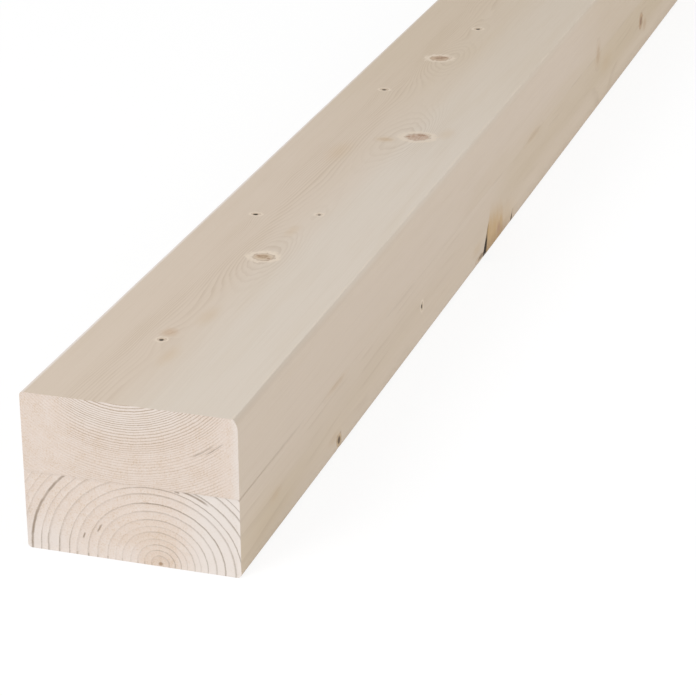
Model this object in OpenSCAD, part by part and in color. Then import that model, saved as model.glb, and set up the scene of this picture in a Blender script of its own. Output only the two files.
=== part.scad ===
// Two-lamella timber beam: two planed spruce boards glued face to face,
// each with its heart side turned outwards, cut square at both ends.
// It lies on its lower wide face. X runs across the wide faces, Y along the
// grain and Z up; the origin is on the floor under the middle of the beam.

/* [Beam] */
// Width across the wide faces, common to both lamellae
beam_w = 160; // [80:1:280]
// Length between the sawn ends
beam_l = 3000; // [500:10:6000]

/* [Lamellae] */
// Thickness of the upper lamella
upper_t = 60; // [30:1:85]
// Thickness of the lower lamella
lower_t = 60; // [30:1:85]

/* [Broad arris] */
// How far the upper lamella's broad easing, at +X, reaches across the top face
broad_across = 3.3; // [0.5:0.1:5]
// How far that easing reaches down the side, where it runs out smoothly
broad_down = 8.5; // [5:0.1:20]

/* [Slim arrises] */
// Radius of the upper lamella's arris at -X
top_slim_r = 2.4; // [0.5:0.1:20]
// Radius of the lower lamella's arris at +X
bottom_near_r = 3.2; // [0.5:0.1:20]
// Radius of the lower lamella's arris at -X
bottom_far_r = 3; // [0.5:0.1:20]

/* [Hidden] */
// Height of the glue line over the floor
glue_z = lower_t;
// How far a cut runs clear of the face that it starts from
overcut = 1;
// Facets of a full circle where curves are drawn as polygons
$fn = 96;

// A quarter round of radius r, as how far across and how far down it reaches
function round_arris(r) = [r, r];

// What easing takes off a corner at the origin whose wide face runs along +X and
// whose side runs along +Y. The arc leaves the side smoothly and crosses the wide
// face; where it reaches as far across as down, it is a quarter round.
module arris_waste(across, down) {
  r = (across * across + down * down) / (2 * across);
  difference() {
    translate([-overcut, -overcut])
      square([across + overcut, down + overcut]);
    translate([r, down])
      circle(r);
  }
}

// Section of a board that stands on the X axis: its two upper corners are eased,
// given as how far across and how far down, and the lower two stay sharp against
// the glue line
module board_section(thickness, left, right) {
  difference() {
    translate([-beam_w / 2, 0])
      square([beam_w, thickness]);
    translate([-beam_w / 2, thickness])
      mirror([0, 1])
        arris_waste(left[0], left[1]);
    translate([beam_w / 2, thickness])
      rotate(180)
        arris_waste(right[0], right[1]);
  }
}

// A section drawn in X and Z, run along the grain from end to end
module along_grain() {
  rotate([90, 0, 0])
    linear_extrude(beam_l, center = true)
      children();
}

module lower_lamella() {
  color("#d9c9b2")
    along_grain()
      translate([0, glue_z])
        mirror([0, 1])
          board_section(lower_t, round_arris(bottom_far_r), round_arris(bottom_near_r));
}

module upper_lamella() {
  color("#d6c5b5")
    along_grain()
      translate([0, glue_z])
        board_section(upper_t, round_arris(top_slim_r), [broad_across, broad_down]);
}

lower_lamella();
upper_lamella();
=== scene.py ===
"""Looks of the glued two-lamella timber beam, around the frame packed from its CAD source.

Each lamella is one closed mesh whose section is read off its CAD node. Relief that a hand would
feel is in the mesh: knots, the open cracks at the edge knot, the groove along the glue line and the
sawn ends. Growth rings, fibres and colours come from shader nodes that cut a log for each board.
Places on a board are in millimetres: x across, then along from the near end, then z up.
"""

import math
from collections import namedtuple

import bmesh
import bpy
import numpy as np
from bpy.props import FloatProperty, FloatVectorProperty, PointerProperty
from mathutils import Matrix, Vector


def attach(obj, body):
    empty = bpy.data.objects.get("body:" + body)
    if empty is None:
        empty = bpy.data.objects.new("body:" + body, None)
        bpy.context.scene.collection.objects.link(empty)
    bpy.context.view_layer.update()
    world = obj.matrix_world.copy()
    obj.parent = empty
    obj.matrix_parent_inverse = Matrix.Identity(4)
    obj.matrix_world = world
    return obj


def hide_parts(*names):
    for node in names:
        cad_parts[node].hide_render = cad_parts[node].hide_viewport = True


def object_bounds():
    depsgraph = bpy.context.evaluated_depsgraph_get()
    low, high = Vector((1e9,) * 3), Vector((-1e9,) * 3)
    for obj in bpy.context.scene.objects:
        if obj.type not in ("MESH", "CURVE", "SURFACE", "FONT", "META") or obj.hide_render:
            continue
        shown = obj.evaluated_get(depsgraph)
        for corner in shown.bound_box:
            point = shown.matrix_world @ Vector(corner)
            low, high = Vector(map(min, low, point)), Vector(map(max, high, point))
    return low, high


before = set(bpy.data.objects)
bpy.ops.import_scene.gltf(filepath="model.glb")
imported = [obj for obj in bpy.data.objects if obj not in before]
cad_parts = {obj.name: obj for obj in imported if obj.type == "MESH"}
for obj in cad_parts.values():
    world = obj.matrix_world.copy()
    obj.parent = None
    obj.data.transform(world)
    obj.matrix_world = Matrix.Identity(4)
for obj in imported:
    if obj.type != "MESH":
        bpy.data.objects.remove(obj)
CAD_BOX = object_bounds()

bl_info = {
    "name": "Two-lamella timber beam",
    "version": (1, 0, 0),
    "blender": (4, 5, 0),
    "location": "3D View > Sidebar > Timber",
    "description": "Builds the glued spruce beam's two boards, their finishes and a pale studio",
    "category": "Add Mesh",
}

BODY = "root"
MM = 0.001
TURN = 2 * math.pi
TOUCH = 0.01  # millimetres within which two places are the same
NEAR_END = CAD_BOX[0].y / MM
LENGTH = (CAD_BOX[1].y - CAD_BOX[0].y) / MM


# The logs that the boards were sawn from

# The pith is the log's middle line. It drifts to and fro along the board, and is on its given
# place at the near end. Oval says how far the rings depart from circles.
Log = namedtuple("Log", "pith_x pith_z drift_x drift_z drift_length oval")
OVAL_LOBES = ((1, 1.0, TURN / 4), (2, 0.9, -TURN / 4))  # lobes in a turn, share of the oval, phase
Z_DRIFT_STRETCH = 1.6  # how much longer the drift up and down is than the one across

UPPER_LOG = Log(pith_x=-6, pith_z=186, drift_x=7, drift_z=5, drift_length=2300, oval=0)
LOWER_LOG = Log(pith_x=20.4, pith_z=2, drift_x=6, drift_z=4, drift_length=1900, oval=0.06)

FINE_RING = 1.856  # width of a ring in the upper board
FINE_FIGURE = 1.0  # width of its lines on planed faces, which show both edges of a ring's late wood
FINE_SWELL = 0.74  # how far the fine rings crowd and spread by turns
FINE_SWELL_LENGTH = 23.0  # from one crowding to the next
FINE_SWELL_AT = 79.0  # where that starts, from the pith
FINE_SHADE_LEAST, FINE_SHADE_SPREAD = 0.65, 0.35  # darkness of the fine rings, which each have their own
# Dark edges of the lower board's rings: how far from its pith, as read off the sawn end, and how dark
WIDE_RINGS = (
    (6.9, 0.45), (11.2, 0.75), (15.7, 0.65), (20.4, 0.30), (26.1, 0.55), (30.4, 0.30),
    (35.9, 0.65), (42.6, 0.50), (48.9, 0.95), (56.6, 0.52), (61.4, 0.85), (68.4, 0.80),
    (75.9, 0.75), (80.4, 0.75), (86.4, 0.75), (92.4, 0.60), (96.9, 0.45),
)
WIDE_RING_OUTER, WIDE_SHADE_OUTER = 5.5, 0.5  # width and darkness of the rings beyond those
LOG_REACH = 140  # how far from the pith the wide rings are counted


# Knots, where branches grew from the pith

# Stretch is how much longer a kind of knot is along the grain. Its lengths are shares of the knot's
# radius: sway is how far rings swing round it, reach how far off they still do, depth how far in it
# goes, soft how much of its edge fades. Then come how strongly each tint shows, how clear it makes
# the rings near it, its sunk rim and its pit. What is left out of these eight is 0.
Kind = namedtuple(
    "Kind", "stretch sway reach depth soft halo amber brown red dark stir rim pit", defaults=(0,) * 8)
PIN = Kind(1.0, 0.6, 3.0, 4, soft=0.4, halo=0.8, amber=0.2, brown=0.5, dark=1.0, stir=0.5, pit=1)
TIGHT = Kind(0.9, 0.8, 3.0, 3, soft=0.5, halo=1.0, amber=0.42, brown=0.7, dark=0.05, stir=0.9, rim=1)
FIRM = Kind(0.9, 0.8, 3.0, 3, soft=0.3, halo=0.9, amber=0.25, brown=0.8, red=0.4, dark=0.12, stir=0.9, rim=1)
RED = Kind(0.95, 0.7, 3.2, 3, soft=0.25, halo=0.7, amber=0.15, brown=0.3, red=0.6, stir=0.9, rim=1)
SIDE = Kind(1.1, 0.6, 3.0, 3, soft=0.3, halo=0.1, amber=0.6, brown=0.8, dark=0.7, stir=0.4, rim=0.5, pit=0.3)
OVERGROWN = Kind(1.1, 0.6, 3.0, 3, soft=0.3, amber=0.6, brown=0.9, red=0.5, dark=0.25, stir=0.4, rim=0.5)
SPOT = Kind(1.3, 0, 1.0, 2, soft=0.6, amber=0.2, red=0.7)
STAIN = Kind(1.3, 0.2, 2.0, 2, soft=0.95, amber=0.3, brown=0.2, red=0.1)
BLUSH = Kind(1.3, 0, 1.0, 2, soft=0.8, amber=0.3, red=0.25)
CLOUD = Kind(2.8, 0, 1.0, 2, soft=1.0, amber=0.22)
SMEAR = Kind(0.8, 0, 1.0, 2, soft=1.0, amber=0.42, brown=0.12)
STREAK = Kind(12, 0, 1.0, 2, soft=1.0, amber=0.25, brown=0.12)
CHECK = Kind(0.75, 0, 1.0, 2, soft=0.9, amber=0.3, brown=0.85, red=0.3, dark=0.1)
# A painted shadow of a splinter along the arris, in the colours of a knot
PAINTED_SPLINTER_SHADOW = Kind(6, 0, 1.0, 2, soft=0.6, amber=0.4, brown=0.6, dark=0.4)
Knot = namedtuple("Knot", "kind x along z radius")

LEFT, RIGHT = (corner.x / MM for corner in CAD_BOX)
BOTTOM, TOP = (corner.z / MM for corner in CAD_BOX)
UPPER_KNOTS = (
    Knot(CLOUD, -4, 88, TOP, 9.0),
    Knot(PIN, -20, 114, TOP, 3.4),
    Knot(BLUSH, -19, 128, TOP, 8.0),
    Knot(CLOUD, -3, 165, TOP, 9.5),
    Knot(CHECK, -9.5, 291, TOP, 3.6),
    Knot(CHECK, 0.2, 287, TOP, 3.4),
    Knot(TIGHT, -5, 290, TOP, 8.8),
    Knot(CLOUD, -2, 350, TOP, 7.0),
    Knot(PIN, -43, 378, TOP, 3.3),
    Knot(PIN, 6.5, 392, TOP, 2.9),
    Knot(CLOUD, -27, 545, TOP, 13.0),
    Knot(SMEAR, 2, 588, TOP, 12.0),
    Knot(CLOUD, 49, 617, TOP, 8.0),
    Knot(CHECK, 29, 608, TOP, 8.0),
    Knot(CHECK, 19, 601, TOP, 4.0),
    Knot(RED, 27, 602, TOP, 10.4),
    Knot(PIN, -41.5, 725, TOP, 3.6),
    Knot(CHECK, -16, 838, TOP, 7.5),
    Knot(FIRM, -20, 834, TOP, 8.8),
    Knot(PIN, -11, 941, TOP, 4.0),
    Knot(TIGHT, 16, 1205, TOP, 7.5),
    Knot(PIN, -36, 1330, TOP, 3.2),
    Knot(FIRM, -26, 1478, TOP, 9.0),
    Knot(RED, 8, 1790, TOP, 9.0),
    Knot(PIN, -50, 1822, TOP, 3.2),
    Knot(TIGHT, -14, 2165, TOP, 9.5),
    Knot(PIN, 34, 2240, TOP, 3.0),
    Knot(FIRM, 20, 2570, TOP, 8.0),
    Knot(PIN, -32, 2780, TOP, 3.2),
    Knot(SIDE, LEFT, 470, 92, 5.5),
    Knot(SIDE, LEFT, 1040, 80, 6.5),
    Knot(PIN, LEFT, 1395, 101, 3.2),
    Knot(SIDE, LEFT, 1890, 86, 6.0),
    Knot(SIDE, LEFT, 2510, 97, 5.5),
    Knot(STREAK, RIGHT, 812, 60, 3.5),
    Knot(STAIN, RIGHT, 1085, 60, 10.0),
    Knot(SIDE, RIGHT, 2060, 93, 5.0),
)
LOWER_KNOTS = (
    Knot(CLOUD, RIGHT, 72, 30, 6.0),
    Knot(STREAK, RIGHT, 212, 56, 3.0),
    Knot(CLOUD, RIGHT, 206, 14, 7.0),
    Knot(SIDE, RIGHT, 216, 8, 6.0),
    Knot(PIN, RIGHT, 438, 30.5, 3.4),
    Knot(CLOUD, RIGHT, 612, 17, 8.0),
    # Painted splinter shadow along the lower right arris, beside the first crack
    Knot(PAINTED_SPLINTER_SHADOW, RIGHT, 626, 5.5, 3.6),
    Knot(SPOT, RIGHT, 686, 11, 6.5),
    Knot(STREAK, RIGHT, 812, 59, 3.5),
    Knot(STAIN, RIGHT, 1085, 57, 12.0),
    Knot(CLOUD, RIGHT, 1125, 40, 13.0),
    Knot(OVERGROWN, RIGHT, 1301, 36, 9.0),
    Knot(BLUSH, RIGHT, 1322, 26, 9.0),
    Knot(SIDE, RIGHT, 1795, 24, 6.5),
    Knot(PIN, RIGHT, 2240, 40, 3.2),
    Knot(SIDE, RIGHT, 2640, 17, 6.0),
    Knot(SIDE, LEFT, 255, 33, 5.5),
    Knot(SIDE, LEFT, 880, 19, 7.0),
    Knot(PIN, LEFT, 1240, 42, 3.2),
    Knot(SIDE, LEFT, 1655, 28, 6.0),
    Knot(SIDE, LEFT, 2330, 35, 6.5),
    Knot(RED, 26, 480, BOTTOM, 9.0),
    Knot(TIGHT, -34, 1110, BOTTOM, 8.0),
    Knot(TIGHT, 12, 1900, BOTTOM, 9.5),
    Knot(RED, -18, 2480, BOTTOM, 8.5),
)

# An open crack on the right side: from its low end at the arris to its high end, both as places
# along and up, with its half width and depth at the arris. It closes towards the high end.
Crack = namedtuple("Crack", "low high half_width depth")
CRACKS = (
    Crack(low=(636, 0), high=(651, 30), half_width=7.0, depth=2.5),
    Crack(low=(729, 0), high=(737, 13), half_width=3.5, depth=1.5),
)
# The torn knot at the lower right arris, which starts at the first crack: how far along it ends,
# and then how far the stained wood beyond it does, and how high it reaches
EdgeKnot = namedtuple("EdgeKnot", "end stain_end top")
EDGE_KNOT = EdgeKnot(end=697, stain_end=760, top=38)

# A run of resin along one ring of the near end: distance from the pith, the angle of its middle,
# half the angle that it spans, and its width
Resin = namedtuple("Resin", "radius angle half_angle width")
UPPER_RESIN = (
    Resin(radius=111.2, angle=math.radians(-57), half_angle=0.10, width=0.85),
    Resin(radius=113.8, angle=math.radians(-53), half_angle=0.09, width=0.6),
)
RESIN_DEPTH = 90  # how far into the beam the resin runs
LOWER_RESIN = (
    Resin(radius=65.2, angle=math.radians(64.5), half_angle=0.22, width=1.3),
    Resin(radius=62.8, angle=math.radians(76.5), half_angle=0.04, width=1.3),
    Resin(radius=86.0, angle=math.radians(157), half_angle=0.62, width=1.3),
    Resin(radius=45.4, angle=math.radians(155), half_angle=0.09, width=0.8),
    Resin(radius=52.5, angle=math.radians(166.5), half_angle=0.05, width=0.9),
)

# The beam's long edges, at the right (1) or left (-1): a painted highlight line where the wide face
# ends, how much painted shade darkens the easing, how much a painted highlight pales it, how far down
# the side that reaches, and how far along the board before painted shade and highlight thin out
Edge = namedtuple("Edge", "side line dust worn reach run")
# Upper board: a painted highlight line and painted shade at the right arris, a painted highlight at the left
UPPER_EDGES = (
    Edge(side=1, line=0.45, dust=0.14, worn=0, reach=6.0, run=130),
    Edge(side=-1, line=0, dust=0, worn=0.9, reach=2.6, run=600),
)
# Lower board: painted shade darkens both eased arrises
LOWER_EDGES = (
    Edge(side=1, line=0, dust=0.5, worn=0, reach=3.6, run=LENGTH),
    Edge(side=-1, line=0, dust=0.15, worn=0, reach=4.0, run=LENGTH),
)
EDGE_THINNED = 0.25  # share of the painted shade and painted highlight that is left beyond twice their run


# Settings

class TimberRelief(bpy.types.PropertyGroup):
    """Mesh spacing and the depth of the relief on the boards"""

    pitch_across: FloatProperty(
        name="Pitch across", description="Mesh spacing across the grain",
        default=0.004, min=0.001, unit="LENGTH")
    pitch_along: FloatProperty(
        name="Pitch along", description="Mesh spacing along the grain",
        default=0.012, min=0.002, unit="LENGTH")
    pitch_end: FloatProperty(
        name="Pitch on ends", description="Mesh spacing on the sawn ends",
        default=0.0013, min=0.0005, unit="LENGTH")
    groove_depth: FloatProperty(
        name="Glue groove", description="Depth of the open groove along the glue line",
        default=0.0005, min=0, unit="LENGTH")
    groove_height: FloatProperty(
        name="Groove height", description="Height of the groove on each board",
        default=0.0006, min=0.0001, unit="LENGTH")
    groove_run: FloatProperty(
        name="Groove run", description="How far from the near end the groove stays open",
        default=0.15, min=0.01, unit="LENGTH")
    knot_moat: FloatProperty(
        name="Knot moat", description="Depth of the shrunken rim round a tight knot",
        default=0.0003, min=0, unit="LENGTH")
    pin_pit: FloatProperty(
        name="Pin pit", description="Depth of the pit in a pin knot",
        default=0.0008, min=0, unit="LENGTH")
    ring_relief: FloatProperty(
        name="Ring relief", description="How far early wood lies under late wood on a sawn end",
        default=0.00022, min=0, unit="LENGTH")
    saw_relief: FloatProperty(
        name="Saw relief", description="Depth of the saw's waves on a sawn end",
        default=0.00012, min=0, unit="LENGTH")


class TimberColours(bpy.types.PropertyGroup):
    """Colours of the wood, as scene-linear reflectances"""

    heartwood: FloatVectorProperty(
        name="Heartwood", description="Warm wood of the planed faces",
        subtype="COLOR", size=3, min=0, max=1, default=(0.667, 0.562, 0.459))
    sapwood: FloatVectorProperty(
        name="Sapwood", description="Pale wood near the bark",
        subtype="COLOR", size=3, min=0, max=1, default=(0.694, 0.617, 0.530))
    aged: FloatVectorProperty(
        name="Aged wood", description="Yellowed wood along the lower side",
        subtype="COLOR", size=3, min=0, max=1, default=(0.615, 0.505, 0.370))
    end_heart: FloatVectorProperty(
        name="End heartwood", description="Warm wood of the sawn ends",
        subtype="COLOR", size=3, min=0, max=1, default=(0.768, 0.654, 0.574))
    end_sap: FloatVectorProperty(
        name="End sapwood", description="Pale wood of the sawn ends",
        subtype="COLOR", size=3, min=0, max=1, default=(0.815, 0.746, 0.695))
    latewood: FloatVectorProperty(
        name="Late wood", description="Dark edge of a growth ring",
        subtype="COLOR", size=3, min=0, max=1, default=(0.400, 0.290, 0.190))
    end_latewood: FloatVectorProperty(
        name="End late wood", description="Dark edge of a growth ring on a sawn end",
        subtype="COLOR", size=3, min=0, max=1, default=(0.300, 0.235, 0.175))
    amber: FloatVectorProperty(
        name="Amber", description="Resinous wood in and round a knot",
        subtype="COLOR", size=3, min=0, max=1, default=(0.560, 0.380, 0.190))
    knot_brown: FloatVectorProperty(
        name="Knot", description="Wood of a tight knot",
        subtype="COLOR", size=3, min=0, max=1, default=(0.330, 0.205, 0.115))
    knot_red: FloatVectorProperty(
        name="Red knot", description="Reddish wood of a fresh knot",
        subtype="COLOR", size=3, min=0, max=1, default=(0.430, 0.255, 0.180))
    # In the cracks this near black is painted shade
    knot_dark: FloatVectorProperty(
        name="Dead knot", description="Bark and dead wood in pin knots and cracks",
        subtype="COLOR", size=3, min=0, max=1, default=(0.035, 0.024, 0.014))
    halo: FloatVectorProperty(
        name="Knot halo", description="Pale wood round a knot",
        subtype="COLOR", size=3, min=0, max=1, default=(0.760, 0.650, 0.530))
    glue: FloatVectorProperty(
        name="Glue line", description="Dust and glue in the groove between the boards",
        subtype="COLOR", size=3, min=0, max=1, default=(0.270, 0.200, 0.140))


class TimberStage(bpy.types.PropertyGroup):
    """Camera, lamps and floor"""

    eye: FloatVectorProperty(
        name="Eye", description="Where the camera stands",
        subtype="TRANSLATION", unit="LENGTH", size=3, default=(0.64502, -2.98792, 0.85513))
    yaw: FloatProperty(
        name="Yaw", description="Camera's turn to the left of the beam's length",
        subtype="ANGLE", default=math.radians(18.1135))
    tilt: FloatProperty(
        name="Tilt", description="Camera's rise from looking straight down",
        subtype="ANGLE", default=math.radians(66.7498))
    roll: FloatProperty(
        name="Roll", description="Camera's turn about its own line of sight",
        subtype="ANGLE", default=math.radians(-0.4339))
    lens: FloatProperty(
        name="Lens", description="Focal length in millimetres on a 36 mm sensor",
        default=135.17, min=1)
    sky: FloatProperty(
        name="Sky", description="Strength of the even light from all round",
        default=0.55, min=0)
    key: FloatProperty(
        name="Key", description="Power of the softbox in front on the left",
        default=100, min=0, unit="POWER")
    fill: FloatProperty(
        name="Fill", description="Power of the softbox on the right",
        default=36, min=0, unit="POWER")
    floor: FloatVectorProperty(
        name="Floor", description="Colour of the floor as lit",
        subtype="COLOR", size=3, min=0, max=1, default=(0.8, 0.8, 0.8))
    floor_white: FloatProperty(
        name="Floor white", description="Share of plain white in the floor that the camera sees",
        subtype="FACTOR", default=0.76, min=0, max=1)


# Board geometry

class Board:
    """A lamella: its section as read off its CAD node, its log and its knots, in millimetres"""

    def __init__(self, node, slot, log, knots, cracks, edges, wide_ringed):
        corners = np.array([v.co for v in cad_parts[node].data.vertices]) / MM
        self.node = node
        self.slot = slot
        self.log = log
        self.knots = knots
        self.cracks = cracks
        self.edges = edges
        self.wide_ringed = wide_ringed
        self.low = corners.min(axis=0)
        self.high = corners.max(axis=0)
        below_middle = self.low[2] < BOTTOM + TOUCH
        self.face_z = self.low[2] if below_middle else self.high[2]
        self.glue_z = self.high[2] if below_middle else self.low[2]
        self.arris_left = self.arris(corners, self.low[0])
        self.arris_right = self.arris(corners, self.high[0])

    def arris(self, corners, side_x):
        """How far the easing beside one side reaches across the wide face and down the side."""
        on_face = np.abs(corners[:, 2] - self.face_z) < TOUCH
        on_side = np.abs(corners[:, 0] - side_x) < TOUCH
        across = np.abs(corners[on_face, 0] - side_x).min()
        down = np.abs(corners[on_side, 2] - self.face_z).min()
        return across, down

    def section_sides(self, pitch, groove_height):
        """The section's four sides in turn, as (x, z) points: wide face, right, glue face, left."""
        inward = math.copysign(1, self.glue_z - self.face_z)
        run_in = math.floor(abs(self.glue_z - self.face_z) / pitch)

        def side(side_x, arris):
            into = math.copysign(1, -side_x)
            easing = [(side_x + into * p, self.face_z + inward * q) for p, q in eased_arc(*arris)]
            stations = np.linspace(easing[-1][1], self.glue_z - inward * groove_height, run_in)
            return np.array(easing + [(side_x, z) for z in stations[1:]] + [(side_x, self.glue_z)])

        left = side(self.low[0], self.arris_left)[::-1]
        right = side(self.high[0], self.arris_right)
        columns = round((right[0][0] - left[-1][0]) / pitch)
        wide = np.linspace(left[-1], right[0], columns + 1)
        glue = np.linspace(right[-1], left[0], columns + 1)
        return wide, right, glue, left


ARC_STEPS = 8  # straight steps along an eased arris


def eased_arc(across, down):
    """Points of an eased arris from the wide face to the side, as (in from the side, down) pairs.

    The arc leaves the side smoothly and crosses the wide face, as in the CAD source.
    """
    radius = (across**2 + down**2) / (2 * across)
    start = math.asin(min(1, down / radius))
    angles = np.linspace(start, 0, ARC_STEPS + 1)
    return [(radius - radius * math.cos(a), down - radius * math.sin(a)) for a in angles]


def end_grid(wide, right, glue, left):
    """Points over a sawn end, blended from its four sides: rows from wide face to glue face."""
    u = np.linspace(0, 1, len(wide))[None, :, None]
    v = np.linspace(0, 1, len(right))[:, None, None]
    across = (1 - v) * wide[None] + v * glue[::-1][None]
    down = (1 - u) * left[::-1][:, None] + u * right[:, None]
    corners = (1 - v) * ((1 - u) * wide[0] + u * wide[-1]) + v * ((1 - u) * glue[-1] + u * glue[0])
    return across + down - corners


# The map for baking, laid out as a square sheet in millimetres: the long faces in strips, then the
# ends and the glue face

STRIPS = 3  # parts of the length that lie side by side
SHEET_GAP = 6  # between any two parts of the sheet
END_ENLARGED = 2.0  # scale of the ends
GLUE_SHRUNK = 0.08  # scale of the glue face, which never shows
GLUE_CELL = 10  # width of its cells before they are shrunk
PLANED_SLOT, SAWN_SLOT = 0, 1


class Sheet:
    """Where the cells of a board's mesh lie on its map"""

    def __init__(self, board, sides, rows):
        self.low = board.low
        self.rows = rows
        self.columns = len(sides[0]) - 1
        self.spread, self.spread_length = sheet_spread(sides)
        self.end_width = END_ENLARGED * (board.high[0] - board.low[0])
        end_height = END_ENLARGED * (board.high[2] - board.low[2])
        self.ends_top = SHEET_GAP + STRIPS * (self.spread_length + SHEET_GAP)
        self.side = max(LENGTH / STRIPS + 2 * SHEET_GAP, self.ends_top + end_height + SHEET_GAP)

    def long_cell(self, row, column):
        """Corners of a cell of the long faces, in its strip or on the glue face."""
        start, end = self.spread[column]
        if start is None:
            left = 3 * SHEET_GAP + 2 * self.end_width
            run = GLUE_SHRUNK * LENGTH / STRIPS
            u0, u1 = (left + GLUE_SHRUNK * GLUE_CELL * (column % self.columns + k) for k in (0, 1))
            v0, v1 = (self.ends_top + run * (row + k) / self.rows for k in (0, 1))
            return (u0, v0), (u1, v0), (u1, v1), (u0, v1)
        strip, step = divmod(row, self.rows // STRIPS)
        base = SHEET_GAP + strip * (self.spread_length + SHEET_GAP)
        u0, u1 = (SHEET_GAP + LENGTH * (step + k) / self.rows for k in (0, 1))
        return (u0, base + start), (u0, base + end), (u1, base + end), (u1, base + start)

    def end_place(self, number, point):
        """Where a point of an end lies. The near end is number 0, and the far one lies beside it."""
        left = SHEET_GAP + number * (self.end_width + SHEET_GAP)
        across, up = point[0] - self.low[0], point[1] - self.low[2]
        return left + END_ENLARGED * across, self.ends_top + END_ENLARGED * up


def board_mesh(board, relief):
    """A closed bmesh of the plain board, in millimetres, with its sheet map and material slots."""
    sides = board.section_sides(relief.pitch_across / MM, relief.groove_height / MM)
    loop = np.concatenate([side[:-1] for side in sides])
    rows = STRIPS * round(LENGTH / (relief.pitch_along / MM) / STRIPS)
    stations = np.linspace(NEAR_END, NEAR_END + LENGTH, rows + 1)
    sheet = Sheet(board, sides, rows)
    bm = bmesh.new()
    layer = bm.loops.layers.uv.new("OFBake")
    rings = [[bm.verts.new((x, y, z)) for x, z in loop] for y in stations]

    def add(verts, places, slot):
        face = bm.faces.new(verts)
        face.material_index = slot
        for corner, place in zip(face.loops, places):
            corner[layer].uv = Vector(place) / sheet.side

    for row, (ring, further) in enumerate(zip(rings, rings[1:])):
        for column in range(len(loop)):
            after = (column + 1) % len(loop)
            verts = (ring[column], ring[after], further[after], further[column])
            add(verts, sheet.long_cell(row, column), PLANED_SLOT)

    grid = end_grid(*sides)
    for number, ring in enumerate((rings[0], rings[-1])):
        cover = end_cover(bm, grid, ring)
        for j in range(len(cover) - 1):
            for i in range(len(cover[0]) - 1):
                quad = ((i, j), (i + 1, j), (i + 1, j + 1), (i, j + 1))
                places = [sheet.end_place(number, grid[b, a]) for a, b in quad]
                add([cover[b][a] for a, b in quad], places, SAWN_SLOT)
    bmesh.ops.recalc_face_normals(bm, faces=bm.faces)
    return bm


def end_cover(bm, grid, ring):
    """Points of a sawn end, row by row: those of the section along its rim, and new ones inside."""
    drops, columns = grid.shape[0] - 1, grid.shape[1] - 1
    y = ring[0].co.y
    cover = [[None] * (columns + 1) for _ in range(drops + 1)]
    for j in range(drops + 1):
        for i in range(columns + 1):
            rim = rim_index(i, j, columns, drops)
            x, z = grid[j, i]
            cover[j][i] = bm.verts.new((x, y, z)) if rim is None else ring[rim]
    return cover


def rim_index(i, j, columns, drops):
    """Which point of the section's loop lies at column i and row j of an end, or None inside."""
    loop_length = 2 * (columns + drops)
    if j == 0:
        return i
    if i == columns:
        return columns + j
    if j == drops:
        return columns + drops + (columns - i)
    if i == 0:
        return (2 * columns + drops + (drops - j)) % loop_length
    return None


def sheet_spread(sides):
    """Start and end of each loop segment across a strip, or None on the glue face, and the width."""
    wide, right, glue, left = sides
    lengths = [np.linalg.norm(np.diff(side, axis=0), axis=1) for side in (left, wide, right)]
    marks = np.concatenate([[0], np.cumsum(np.concatenate(lengths))])
    pairs = list(zip(marks[:-1], marks[1:]))
    n_left, n_wide = len(left) - 1, len(wide) - 1
    around = pairs[n_left:n_left + n_wide] + pairs[n_left + n_wide:]
    around += [(None, None)] * (len(glue) - 1) + pairs[:n_left]
    return around, marks[-1]


MOST_HALVINGS = 6  # enough for the longest edge and the finest pitch


def refine(bm, boxes):
    """Halves edges that cross a box until they are no longer than its pitch, and leaves triangles.

    A box is its middle, its half size and its pitch.
    """
    for _ in range(MOST_HALVINGS):
        bm.edges.ensure_lookup_table()
        ends = np.array([[v.co[:] for v in edge.verts] for edge in bm.edges])
        low, high = ends.min(axis=1), ends.max(axis=1)
        length = np.linalg.norm(ends[:, 0] - ends[:, 1], axis=1)
        chosen = np.zeros(len(ends), bool)
        for middle, half, pitch in boxes:
            middle, half = np.array(middle), np.array(half)
            crosses = ((high > middle - half) & (low < middle + half)).all(axis=1)
            chosen |= crosses & (length > pitch)
        if not chosen.any():
            break
        edges = [bm.edges[i] for i in np.flatnonzero(chosen)]
        bmesh.ops.subdivide_edges(bm, edges=edges, cuts=1, use_grid_fill=True)
    bmesh.ops.remove_doubles(bm, verts=bm.verts, dist=TOUCH)
    bmesh.ops.triangulate(bm, faces=bm.faces, quad_method="BEAUTY", ngon_method="BEAUTY")


FINEST = 0.8  # smallest mesh pitch at a knot or crack
KNOT_CELLS = 6  # mesh cells over the radius of a knot, if they are no finer than that
KNOT_ROOM = 1.7  # refined room round a knot, in radii
CRACK_ROOM_IN = 8  # refined room behind a crack
CRACK_ROOM_ALONG = 2  # refined room beside it, in half widths
CRACK_ROOM_UP = 1  # refined room above it


def fine_boxes(board, relief):
    """Where a board's mesh is refined: round its knots and cracks and over its ends."""
    boxes = []
    for knot in board.knots:
        if not (knot.kind.rim or knot.kind.pit):
            continue
        room = KNOT_ROOM * knot.radius
        middle = (knot.x, NEAR_END + knot.along, knot.z)
        half = (room, room * knot.kind.stretch, room)
        boxes.append((middle, half, max(FINEST, knot.radius / KNOT_CELLS)))
    for crack in board.cracks:
        along = [NEAR_END + end[0] for end in (crack.low, crack.high)]
        middle = (board.high[0], sum(along) / 2, crack.high[1] / 2)
        half = (crack.depth + CRACK_ROOM_IN,
                (along[1] - along[0]) / 2 + CRACK_ROOM_ALONG * crack.half_width,
                crack.high[1] / 2 + CRACK_ROOM_UP)
        boxes.append((middle, half, FINEST))
    for end in (NEAR_END, NEAR_END + LENGTH):
        boxes.append(((0, end, 0), (board.high[0], TOUCH, board.high[2]), relief.pitch_end / MM))
    return boxes


# Relief, the depth under the plain surface at each place

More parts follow.
